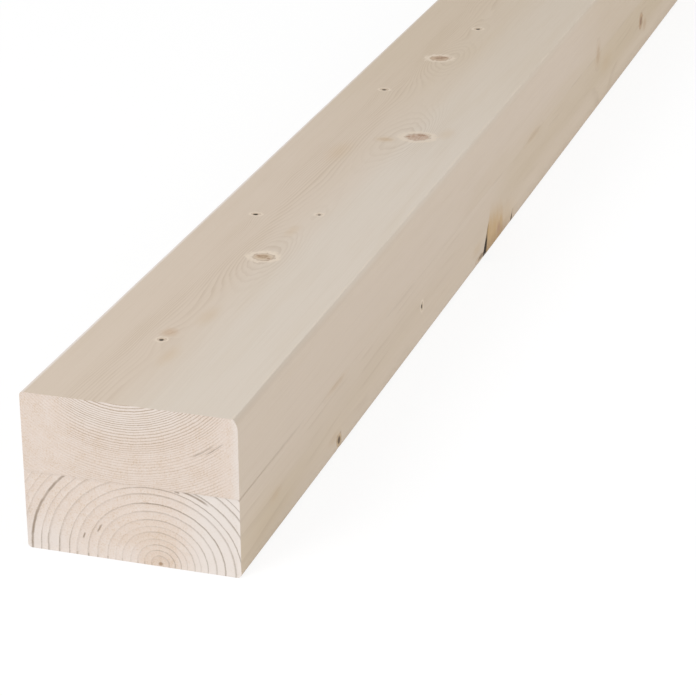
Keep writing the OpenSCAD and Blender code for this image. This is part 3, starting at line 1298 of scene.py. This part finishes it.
ON_SIDE = Fade(76.5, 79.5)  # off the beam's middle, from its wide faces to its sides
UPPER_PALE = Fade(-28, 38)  # across the top face
UPPER_PALE_WANDER = 50.0  # how far the limit of its pale wood wanders, in all
UPPER_LOW = Fade(84, 66)  # down the side
UPPER_LOW_AGED = Fade(530, 620, 0.0, 0.3)  # along the board, how yellow it is down there
UPPER_SIDE_AGED = Fade(950, 1150, 0.0, 0.45)  # along the board, how yellow the whole side is
UPPER_TOP_AGED = Fade(480, 900, 0.0, 0.5)  # along the board, how yellow the top face is
UPPER_RIGHT_AGED = Fade(0, 40, 1.0, 0.6)  # across that face
UPPER_CLOUDS_AGED = Fade(0.45, 0.75, 0.0, 0.14)  # by the clouds in the tone


def upper_tone(wire, colours, place, tone):
    """Warm wood on the sides and the left of the top face, paler on its right, yellower far off."""
    x, along, z = wire.parts(place)
    wander = wire.math("MULTIPLY_ADD", tone["Broad"], UPPER_PALE_WANDER, -UPPER_PALE_WANDER / 2)
    lean = wire.step(wire.total(x, wander), *UPPER_PALE)
    on_side = wire.step(wire.math("ABSOLUTE", x), *ON_SIDE)
    on_top = wire.math("SUBTRACT", 1.0, on_side)
    colour = wire.mix(wire.product(lean, on_top), rgba(colours.heartwood), rgba(colours.sapwood))
    low = wire.product(wire.step(z, *UPPER_LOW), wire.step(along, *UPPER_LOW_AGED))
    far = wire.product(wire.step(along, *UPPER_TOP_AGED), wire.step(x, *UPPER_RIGHT_AGED))
    side = wire.math("MAXIMUM", low, wire.step(along, *UPPER_SIDE_AGED))
    aged = wire.total(wire.product(on_top, far), wire.product(on_side, side),
                      wire.step(tone["Cloud"], *UPPER_CLOUDS_AGED))
    return wire.mix(aged, colour, rgba(colours.aged))


LOWER_LOW = Fade(74, 12)  # down the side
LOWER_LOW_AGED = Fade(40, 190, 0.9, 0.5)  # along the board, how yellow it is down there
LOWER_CLOUDS = Fade(0.7, 1.3)
LOWER_CLOUDED = 0.6  # how much of that yellow comes in clouds
LOWER_HIGH = Fade(14, 36)  # up the side
LOWER_HIGH_AGED = Fade(640, 760, 0.0, 0.5)  # along the board, how yellow it is up there
LOWER_FAR_AGED = Fade(1000, 1150, 0.0, 0.3)  # along the board, how yellow it is all over
LOWER_FOOT = Fade(36, 14)  # down the side
LOWER_FOOT_PALE = Fade(60, 200, 0.0, 0.3)  # along the board, how pale it is down there


def lower_tone(wire, colours, place, tone):
    """Warm wood that has yellowed in clouds towards the lower face and far off, paler by the arris."""
    along, z = wire.parts(place)[1:]
    low = wire.product(wire.step(z, *LOWER_LOW), wire.step(along, *LOWER_LOW_AGED))
    cloud = wire.step(wire.total(tone["Broad"], tone["Cloud"]), *LOWER_CLOUDS)
    clouded = wire.math("MULTIPLY_ADD", cloud, LOWER_CLOUDED, 1 - LOWER_CLOUDED)
    high = wire.product(wire.step(z, *LOWER_HIGH), wire.step(along, *LOWER_HIGH_AGED))
    aged = wire.total(wire.product(low, clouded), high, wire.step(along, *LOWER_FAR_AGED))
    colour = wire.mix(aged, rgba(colours.heartwood), rgba(colours.aged))
    pale = wire.product(wire.step(z, *LOWER_FOOT), wire.step(along, *LOWER_FOOT_PALE))
    return wire.mix(pale, colour, rgba(colours.halo))


UPPER_FIGURE_BAND = (Fade(-54, -42), Fade(-20, -6, 1.0, 0.0))  # across the top face
UPPER_FIGURE = Fade(0.35, 0.6, 0.25, 0.85)  # by the clouds in the tone
UPPER_FIGURE_LEAST = 0.12


def upper_figure(wire, place, tone):
    """How clear the rings are on the upper board: most on the left of the top face."""
    band = wire.band(wire.parts(place)[0], *UPPER_FIGURE_BAND)
    return wire.math("MULTIPLY_ADD", band, wire.step(tone["Cloud"], *UPPER_FIGURE), UPPER_FIGURE_LEAST)


LOWER_FIGURE_GRAIN = (24, 85, 24)
LOWER_FIGURE = Fade(0.52, 0.66, 0.1, 1.0)


def lower_figure(wire, place, _tone):
    """How clear the rings are on the lower board: in short stretches."""
    return wire.step(wire.noise(place, LOWER_FIGURE_GRAIN, detail=1.0), *LOWER_FIGURE)


def edge_tints(wire, board, colours, place, colour):
    """The colour with the board's long edges on it, as painted highlights and painted shade."""
    along = wire.parts(place)[1]
    for edge in board.edges:
        on_right = edge.side > 0
        side_x = board.high[0] if on_right else board.low[0]
        across = (board.arris_right if on_right else board.arris_left)[0]
        values = {"Place": place, "Side X": side_x, "Face Z": board.face_z,
                  "Across": across, "Reach": edge.reach}
        marks = wire.group(long_edge(), values)
        remaining = wire.step(along, edge.run, 2 * edge.run, 1.0, EDGE_THINNED)
        line = wire.product(marks["Line"], edge.line)
        dust = wire.product(marks["Easing"], remaining, edge.dust)
        painted_highlight_share = wire.product(marks["Wear"], remaining, edge.worn)
        # Pale wood's colours for the painted highlights, late wood's colour for the painted shade
        for share, tint in ((line, colours.halo), (dust, colours.latewood), (painted_highlight_share, colours.end_sap)):
            colour = wire.mix(share, colour, rgba(tint))
    return colour


PLANED_RAGGED = 1.4  # how far rings stray over short lengths, in millimetres
PLANED_WANDER = 5.0  # and over longer ones
RING_SHADE = 0.6  # how much of a ring's darkness is its own
FIBRE_STREAKS = Fade(0.42, 0.75, 0.0, 0.07)
PLANED_GLUE = 0.22  # how dark the glue line is


def planed_finish(name, board, colours, tone_of, figure_of, ring_contrast, dark_from):
    """Planed wood: rings cut lengthwise, fibres, knots, worn edges and the glue line."""
    material, wire, place, shader = start_finish(name)
    tone = wire.group(wood_tone(), {"Place": place})
    fibre = wire.group(fibres(), {"Place": place})
    grown, marks = board_knots(wire, board, place)
    radius = cut_log(wire, board, grown, PLANED_RAGGED, PLANED_WANDER)[0]
    late, shade = ring_shades(wire, board, radius, FINE_FIGURE, dark_from)

    figure = wire.math("MAXIMUM", figure_of(wire, place, tone), marks["Stir"])
    shaded = wire.math("MULTIPLY_ADD", shade, RING_SHADE, 1 - RING_SHADE)
    ring_share = wire.product(late, shaded, figure, ring_contrast)
    streak_share = wire.step(fibre["Streak"], *FIBRE_STREAKS)
    colour = tone_of(wire, colours, place, tone)
    colour = wire.mix(wire.total(ring_share, streak_share), colour, rgba(colours.latewood))
    if board.cracks:
        fill, foot = edge_fill(wire, EDGE_KNOT, board.cracks[0], place)
        colour = wire.mix(fill, colour, rgba(colours.amber))
        colour = wire.mix(foot, colour, rgba(colours.knot_brown))
    tints = (colours.halo, colours.amber, colours.knot_brown, colours.knot_red, colours.knot_dark)
    for mark, tint in zip(KNOT_TINTS, tints):
        colour = wire.mix(marks[mark], colour, rgba(tint))
    # The open cracks' insides are painted near black as shade
    for crack in board.cracks:
        colour = wire.mix(crack_mask(wire, crack, place), colour, rgba(colours.knot_dark))
    colour = edge_tints(wire, board, colours, place, colour)
    wire.feed(shader.inputs["Base Color"], glued(wire, board, colours, place, colour, PLANED_GLUE))
    work_surface(wire, shader, PLANED, fibre["Height"], late)
    return material


# Sawn finish, with places across and up the end, and distances from the pith

UPPER_SAP_EDGE = Fade(72, 79, 0.0, 0.6)  # across, at the right edge
UPPER_SAP_HEART = Fade(97, 80, 0.0, 0.52)  # from the pith
UPPER_SAP_SPAN = (Fade(-58, -34), Fade(34, 54, 1.0, 0.4))  # across


def upper_sap(wire, place, radius):
    """Pale wood of the upper board's end: a strip at its right edge, and some towards the heart."""
    x = wire.parts(place)[0]
    left, right = (wire.step(x, *limit) for limit in UPPER_SAP_SPAN)
    near_heart = wire.product(wire.step(radius, *UPPER_SAP_HEART), left, right)
    return wire.math("MAXIMUM", wire.step(x, *UPPER_SAP_EDGE), near_heart)


LOWER_SAP_RIGHT = Fade(26, 58)  # across
LOWER_SAP_LEFT = Fade(-22, -66)  # across
LOWER_SAP_CORNER = Fade(40, 6)  # down, on the left
LOWER_SAP_LEFT_SHARE = 0.8
LOWER_SAP_FOOT = Fade(18, 4, 0.0, 0.45)  # down
LOWER_SAP_OFF_PITH = Fade(10, 20)  # from the pith


def lower_sap(wire, place, radius):
    """Pale wood of the lower board's end: towards the right, the lower left corner and the foot."""
    x, _, z = wire.parts(place)
    right = wire.step(x, *LOWER_SAP_RIGHT)
    left = wire.product(wire.step(x, *LOWER_SAP_LEFT), wire.step(z, *LOWER_SAP_CORNER))
    foot = wire.product(wire.step(z, *LOWER_SAP_FOOT), wire.step(radius, *LOWER_SAP_OFF_PITH))
    return wire.math("MAXIMUM", wire.math("MAXIMUM", right, foot), wire.product(left, LOWER_SAP_LEFT_SHARE))


UPPER_CLEAR_INNER = Fade(84, 90, 1.15, 0.9)  # from the pith
UPPER_CLEAR_OUTER = Fade(97, 105, 1.15, 0.5)  # further from it
UPPER_CLEAR_LEFT = Fade(-58, -34, 0.3, 1.0)  # across
UPPER_CLEAR_RIGHT = Fade(60, 74, 1.0, 0.25)  # across


def upper_clear(wire, place, radius, _angle):
    """How clear the rings are on the upper board's end: most towards the heart, least at its sides."""
    inner = wire.step(radius, *UPPER_CLEAR_INNER)
    near_heart = wire.math("MINIMUM", inner, wire.step(radius, *UPPER_CLEAR_OUTER))
    x = wire.parts(place)[0]
    return wire.product(near_heart, wire.step(x, *UPPER_CLEAR_LEFT), wire.step(x, *UPPER_CLEAR_RIGHT))


LOWER_DULL_LEFT = Fade(math.radians(95), math.radians(130))  # round the pith
LOWER_OUTER_FOOT = Fade(54, 62)  # from the pith
LOWER_OUTER_FOOT_UP = Fade(24, 8)  # down
LOWER_OUTER_FOOT_CLEAR = 0.75
LOWER_DULL = Fade(0.0, 1.0, 1.0, 0.42)
LOWER_CLEAR_HEART = Fade(24, 40, 0.85, 1.0)  # from the pith


def lower_clear(wire, place, radius, angle):
    """How clear the rings are on the lower board's end: less on the left, but for its outer foot."""
    z = wire.parts(place)[2]
    left = wire.step(angle, *LOWER_DULL_LEFT)
    foot = wire.product(wire.step(radius, *LOWER_OUTER_FOOT), wire.step(z, *LOWER_OUTER_FOOT_UP))
    dull = wire.product(left, wire.math("MULTIPLY_ADD", foot, -LOWER_OUTER_FOOT_CLEAR, 1.0))
    return wire.product(wire.step(dull, *LOWER_DULL), wire.step(radius, *LOWER_CLEAR_HEART))


SAWN_RAGGED = 1.0  # how far rings stray over short lengths, in millimetres
# By the speckle of the sawn face: how clear its rings are, how amber and how pale its specks
RING_SPECKLE = Fade(0.25, 0.6, 0.55, 1.0)
AMBER_SPECKLE = Fade(0.5, 0.68, 0.0, 0.35)
PALE_SPECKLE = Fade(0.5, 0.34, 0.0, 0.5)
# By the pale wood: how much of the amber specks and of the warm heart it leaves
SAP_SPECKLE = Fade(0.0, 0.8, 1.0, 0.3)
SAP_WARM = Fade(0.0, 0.25, 1.0, 0.0)
# From the pith: how amber the heart is, and how brown the pith
HEART_WARM = Fade(46, 16, 0.0, 0.11)
PITH_BROWN = Fade(0.7, 2.2, 0.8, 0.0)
RESIN_DARK = 0.8  # how dark a run of resin is
SAWN_GLUE = 0.06  # how dark the glue line is


def sawn_finish(name, board, colours, sap_of, clear_of, resin, ring_tint, ring_contrast, dark_from):
    """A sawn end: rings cut across, torn fibres, the pith, resin and the glue line."""
    material, wire, place, shader = start_finish(name)
    tone = wire.group(wood_tone(), {"Place": place})
    grain = wire.group(sawn_grain(), {"Place": place})
    radius, angle = cut_log(wire, board, place, SAWN_RAGGED, 0.0)
    late, shade = ring_shades(wire, board, radius, FINE_RING, dark_from)

    sap = sap_of(wire, place, radius)
    clear = clear_of(wire, place, radius, angle)
    ring_share = wire.product(late, shade, clear, wire.step(grain["Speckle"], *RING_SPECKLE), ring_contrast)
    speckle_share = wire.product(wire.step(grain["Speckle"], *AMBER_SPECKLE), wire.step(sap, *SAP_SPECKLE))
    warm = wire.product(wire.step(radius, *HEART_WARM), wire.step(sap, *SAP_WARM))
    colour = wire.mix(sap, rgba(colours.end_heart), rgba(colours.end_sap))
    colour = wire.mix(speckle_share, colour, rgba(colours.amber))
    colour = wire.mix(wire.step(grain["Speckle"], *PALE_SPECKLE), colour, rgba(colours.end_sap))
    colour = wire.mix(warm, colour, rgba(colours.amber))
    colour = wire.mix(ring_share, colour, rgba(ring_tint))
    colour = wire.mix(wire.step(radius, *PITH_BROWN), colour, rgba(colours.knot_brown))
    on_near = wire.step(wire.parts(place)[1], 0, RESIN_DEPTH, 1.0, 0.0)
    for run in resin:
        values = {"Radius": radius, "Angle": angle, "At Radius": run.radius, "At Angle": run.angle,
                  "Half Angle": run.half_angle, "Width": run.width, "Ragged": tone["Cloud"]}
        mask = wire.group(resin_run(), values)["Mask"]
        colour = wire.mix(wire.product(mask, on_near, RESIN_DARK), colour, rgba(colours.glue))
    wire.feed(shader.inputs["Base Color"], glued(wire, board, colours, place, colour, SAWN_GLUE))
    work_surface(wire, shader, SAWN, grain["Height"], late)
    return material


# Stage

# Places and sizes of the stage are in metres
FLOOR_DROP = 0.0002  # how far under the beam the floor lies
FLOOR_HALF = 30.0  # from its middle to its edge
FLOOR_CELLS = 12  # along each edge
FLOOR_GLOW = 1.11  # strength of the white in the floor that the camera sees
WHITE = (1, 1, 1, 1)
LIGHT_AIM = (0, -0.9, 0.06)  # what both softboxes face
KEY_PLACE, KEY_SIZE = (-1.7, -4.4, 2.7), 2.2
FILL_PLACE, FILL_SIZE = (3.2, -0.6, 1.5), 2.6
SENSOR = 36.0  # width of the camera's sensor, in millimetres
CAMERA_NEAR = 0.05  # nearest place that the camera sees


def seen_directly(wire):
    """1 for rays from the camera, or by way of gloss or glass."""
    path = wire.node("ShaderNodeLightPath").outputs
    direct = wire.math("MAXIMUM", path["Is Camera Ray"], path["Is Glossy Ray"])
    return wire.math("MAXIMUM", direct, path["Is Transmission Ray"])


def mix_shaders(wire, share, first, second):
    """Shader output with a share of the second node's shader in the first one's."""
    values = {0: share, 1: first.outputs[0], 2: second.outputs[0]}
    return wire.node("ShaderNodeMixShader", values).outputs[0]


def floor_finish(stage):
    """Pale floor that is white to the camera and still takes the beam's shadow."""
    material = bpy.data.materials.new("pale_floor")
    wire = fresh_wiring(material)
    matt = wire.node("ShaderNodeBsdfDiffuse", {"Color": rgba(stage.floor)})
    white = wire.node("ShaderNodeEmission", {"Color": WHITE, "Strength": FLOOR_GLOW})
    share = wire.product(seen_directly(wire), stage.floor_white)
    wire.node("ShaderNodeOutputMaterial", {"Surface": mix_shaders(wire, share, matt, white)})
    return material


def lay_floor(stage):
    """A wide floor just under the beam."""
    bm = bmesh.new()
    bmesh.ops.create_grid(bm, x_segments=FLOOR_CELLS, y_segments=FLOOR_CELLS, size=FLOOR_HALF)
    bmesh.ops.translate(bm, verts=bm.verts, vec=(0, 0, CAD_BOX[0].z - FLOOR_DROP))
    mesh = bpy.data.meshes.new("floor")
    bm.to_mesh(mesh)
    bm.free()
    mesh.materials.append(floor_finish(stage))
    floor = bpy.data.objects.new("floor", mesh)
    bpy.context.scene.collection.objects.link(floor)


def hang_softbox(name, place, size, power):
    """A square lamp that faces the beam."""
    lamp = bpy.data.lights.new(name, "AREA")
    lamp.shape = "SQUARE"
    lamp.size = size
    lamp.energy = power
    holder = bpy.data.objects.new(name, lamp)
    holder.location = place
    holder.rotation_euler = (Vector(LIGHT_AIM) - Vector(place)).to_track_quat("-Z", "Y").to_euler()
    bpy.context.scene.collection.objects.link(holder)


def light_sky(strength):
    """Even white light from all round; the camera sees plain white there."""
    world = bpy.data.worlds.new("studio")
    wire = fresh_wiring(world)
    glow = wire.node("ShaderNodeBackground", {"Color": WHITE, "Strength": strength})
    white = wire.node("ShaderNodeBackground", {"Color": WHITE, "Strength": 1.0})
    wire.node("ShaderNodeOutputWorld", {"Surface": mix_shaders(wire, seen_directly(wire), glow, white)})
    bpy.context.scene.world = world


def stand_camera(stage):
    """The camera, where the settings put it."""
    camera = bpy.data.cameras.new("camera")
    camera.sensor_width = SENSOR
    camera.lens = stage.lens
    camera.clip_start = CAMERA_NEAR
    holder = bpy.data.objects.new("camera", camera)
    turn = Matrix.Rotation(stage.yaw, 4, "Z") @ Matrix.Rotation(stage.tilt, 4, "X")
    holder.matrix_world = Matrix.Translation(stage.eye) @ turn @ Matrix.Rotation(stage.roll, 4, "Z")
    bpy.context.scene.collection.objects.link(holder)
    bpy.context.scene.camera = holder


# Operators and panel

class TIMBER_OT_upper_lamella(bpy.types.Operator):
    """Build the fine-ringed upper board in place of its CAD node"""

    bl_idname = "timber.upper_lamella"
    bl_label = "Upper lamella"

    def execute(self, context):
        colours = context.scene.timber_colours
        board = Board("upper_lamella", "spruce_fine_ringed", UPPER_LOG, UPPER_KNOTS,
                      cracks=(), edges=UPPER_EDGES, wide_ringed=False)
        materials = (
            planed_finish("upper_planed", board, colours, upper_tone, upper_figure,
                          ring_contrast=0.3, dark_from=0.35),
            sawn_finish("upper_sawn", board, colours, upper_sap, upper_clear, UPPER_RESIN,
                        ring_tint=colours.latewood, ring_contrast=0.9, dark_from=0.45),
        )
        lay_board(board, "upper_board", context.scene.timber_relief, materials)
        return {"FINISHED"}


class TIMBER_OT_lower_lamella(bpy.types.Operator):
    """Build the wide-ringed lower board in place of its CAD node"""

    bl_idname = "timber.lower_lamella"
    bl_label = "Lower lamella"

    def execute(self, context):
        colours = context.scene.timber_colours
        board = Board("lower_lamella", "spruce_wide_ringed", LOWER_LOG, LOWER_KNOTS,
                      cracks=CRACKS, edges=LOWER_EDGES, wide_ringed=True)
        materials = (
            planed_finish("lower_planed", board, colours, lower_tone, lower_figure,
                          ring_contrast=0.17, dark_from=0.55),
            sawn_finish("lower_sawn", board, colours, lower_sap, lower_clear, LOWER_RESIN,
                        ring_tint=colours.end_latewood, ring_contrast=0.9, dark_from=0.72),
        )
        lay_board(board, "lower_board", context.scene.timber_relief, materials)
        return {"FINISHED"}


class TIMBER_OT_stage(bpy.types.Operator):
    """Set the floor, the lamps, the sky and the camera"""

    bl_idname = "timber.stage"
    bl_label = "Stage"

    def execute(self, context):
        stage = context.scene.timber_stage
        lay_floor(stage)
        hang_softbox("key", KEY_PLACE, KEY_SIZE, stage.key)
        hang_softbox("fill", FILL_PLACE, FILL_SIZE, stage.fill)
        light_sky(stage.sky)
        stand_camera(stage)
        context.scene.view_settings.view_transform = "Standard"
        return {"FINISHED"}


class TIMBER_PT_beam(bpy.types.Panel):
    """Operators and settings of the beam"""

    bl_idname = "TIMBER_PT_beam"
    bl_label = "Two-lamella beam"
    bl_space_type = "VIEW_3D"
    bl_region_type = "UI"
    bl_category = "Timber"

    def draw(self, context):
        layout = self.layout
        for operator in OPERATORS:
            layout.operator(operator.bl_idname)
        for name, group in SETTINGS.items():
            settings = getattr(context.scene, name)
            box = layout.box()
            box.label(text=group.__doc__)
            for entry in group.__annotations__:
                box.prop(settings, entry)


OPERATORS = (TIMBER_OT_upper_lamella, TIMBER_OT_lower_lamella, TIMBER_OT_stage)
SETTINGS = {"timber_relief": TimberRelief, "timber_colours": TimberColours, "timber_stage": TimberStage}
CLASSES = (*SETTINGS.values(), *OPERATORS, TIMBER_PT_beam)


def register():
    """Makes the settings, operators and panel known."""
    for group in CLASSES:
        bpy.utils.register_class(group)
    for name, group in SETTINGS.items():
        setattr(bpy.types.Scene, name, PointerProperty(type=group))


def unregister():
    """Takes the settings, operators and panel away again."""
    for name in SETTINGS:
        delattr(bpy.types.Scene, name)
    for group in reversed(CLASSES):
        bpy.utils.unregister_class(group)


def main():
    """Builds the beam and its stage."""
    register()
    bpy.ops.timber.upper_lamella()
    bpy.ops.timber.lower_lamella()
    bpy.ops.timber.stage()


if __name__ == "__main__":
    main()
